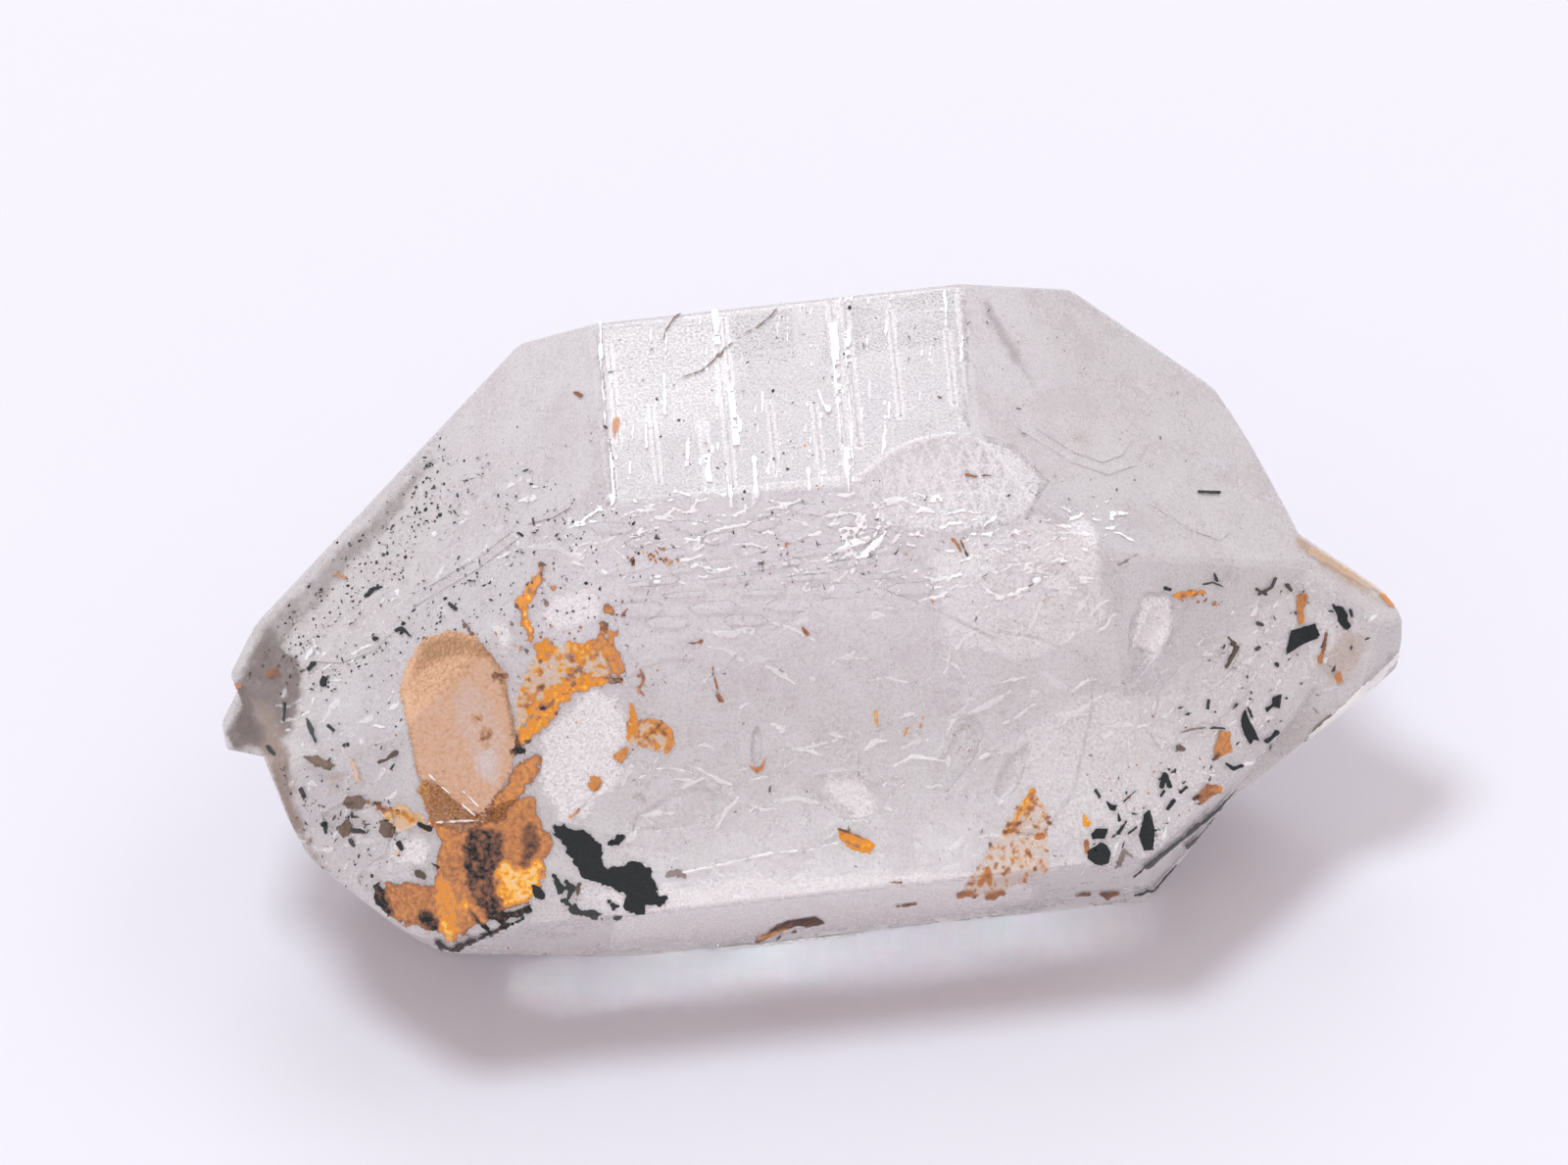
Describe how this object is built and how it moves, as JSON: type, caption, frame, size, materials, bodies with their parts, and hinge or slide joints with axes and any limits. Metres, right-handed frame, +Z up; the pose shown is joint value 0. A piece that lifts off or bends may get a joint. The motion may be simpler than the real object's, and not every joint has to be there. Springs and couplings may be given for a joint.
{
  "type": "skeletal quartz point",
  "caption": "Clear skeletal quartz crystal with two ends, lying on a prism face, with stepped hollows, orange iron-oxide film and black flakes.",
  "frame": {"origin": "middle of the underside of the crystal's box, on the surface that it lies on", "axes": "+X along the crystal's c axis towards the end with the second, lower tip, +Y away from the face with the stepped hollows, +Z up"},
  "size_m": [0.0502, 0.0264, 0.0248],
  "materials": {
    "quartz": "clear, glossy growth faces with fine ribs, faintly smoky",
    "iron_oxide": "thin translucent orange-brown film inside the crystal",
    "dark_oxide": "matt black flakes and specks inside the crystal",
    "white_veil": "frosty white healed cracks and growth lines"
  },
  "bodies": {
    "root": {"quartz_crystal": "quartz"}
  },
  "joints": []
}
